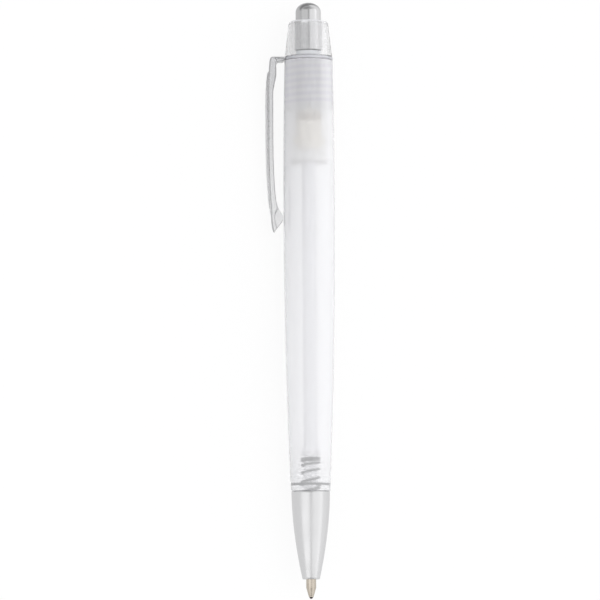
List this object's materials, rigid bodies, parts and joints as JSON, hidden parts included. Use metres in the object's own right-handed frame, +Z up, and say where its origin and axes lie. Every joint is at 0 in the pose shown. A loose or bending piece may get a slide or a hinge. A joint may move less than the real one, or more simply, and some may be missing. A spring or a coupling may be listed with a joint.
{
  "type": "ballpoint pen",
  "caption": "Retractable ballpoint pen: frosted barrel and clip, silver tip cone and push button, spring-returned refill, rotary cam lock and a screw-off top.",
  "frame": {"origin": "on the table, under the middle of the pen's bounding box", "axes": "the pen lies on its barrel and the edge of its clip: +X from the push button to the writing point, the clip towards -Y and 25 degrees below level, +Z up"},
  "size_m": [0.14, 0.0158, 0.012],
  "materials": {
    "frosted_barrel": "frosted translucent moulding",
    "frosted_collar": "frosted translucent moulding",
    "frosted_clip": "frosted translucent moulding",
    "silvered_plastic": "satin silver, vacuum metallised",
    "natural_plastic": "unpigmented acetal",
    "grey_plastic": "moulded acetal",
    "ivory_plastic": "moulded acetal",
    "white_tube": "extruded polypropylene",
    "blue_ink": "thick oil ink",
    "follower_grease": "clear grease",
    "nickel_silver": "turned nickel silver",
    "carbide": "ground tungsten carbide",
    "spring_steel": "bright drawn wire"
  },
  "bodies": {
    "barrel_body": {"barrel": "frosted_barrel", "tip_cone": "silvered_plastic", "spring": "spring_steel"},
    "ring_body": {"clip_ring": "frosted_clip"},
    "arm_body": {"clip_arm": "frosted_clip"},
    "collar_body": {"collar": "frosted_collar", "cam_sleeve": "natural_plastic"},
    "button_body": {"push_button": "silvered_plastic", "plunger": "grey_plastic"},
    "rotor_body": {"rotor": "ivory_plastic"},
    "refill_body": {"refill_tube": "white_tube", "ink_column": "blue_ink", "ink_follower": "follower_grease", "nib": "nickel_silver"},
    "ball_body": {"writing_ball": "carbide"}
  },
  "joints": [
    {"name": "top_lift", "type": "slide", "parent": "barrel_body", "child": "ring_body", "axis": [-1, 0, 0], "range_m": [0, 0.0112]},
    {"name": "collar_turn", "type": "hinge", "parent": "ring_body", "child": "collar_body", "pos_m": [-0.0592, 0.00189, 0.00603], "axis": [-1, 0, 0], "range_deg": [0, 2520]},
    {"name": "clip_flex", "type": "hinge", "parent": "ring_body", "child": "arm_body", "pos_m": [-0.05665, -0.00445, 0.00307], "axis": [0, 0.4226, -0.9063], "range_deg": [0, 5], "stiffness_Nm_per_rad": 1.1},
    {"name": "button_slide", "type": "slide", "parent": "collar_body", "child": "button_body", "axis": [-1, 0, 0], "range_m": [-0.0012, 0.0055]},
    {"name": "rotor_turn", "type": "hinge", "parent": "button_body", "child": "rotor_body", "pos_m": [-0.0397, 0.00189, 0.00603], "axis": [-1, 0, 0], "range_deg": [-10, 46]},
    {"name": "refill_slide", "type": "slide", "parent": "barrel_body", "child": "refill_body", "axis": [-1, 0, 0], "range_m": [-0.0012, 0.0055], "deforming": ["spring"]},
    {"name": "ball_roll", "type": "hinge", "parent": "refill_body", "child": "ball_body", "pos_m": [0.0695, 0.00189, 0.00603], "axis": [0, 1, 0], "continuous": true}
  ],
  "couplings": [
    {"joint": "collar_turn", "follows": "top_lift", "rad_per_m": 3926.9},
    {"joint": "refill_slide", "follows": "button_slide", "ratio": 1},
    {"joint": "rotor_turn", "follows": "button_slide", "rad_per_m": 142.8}
  ]
}
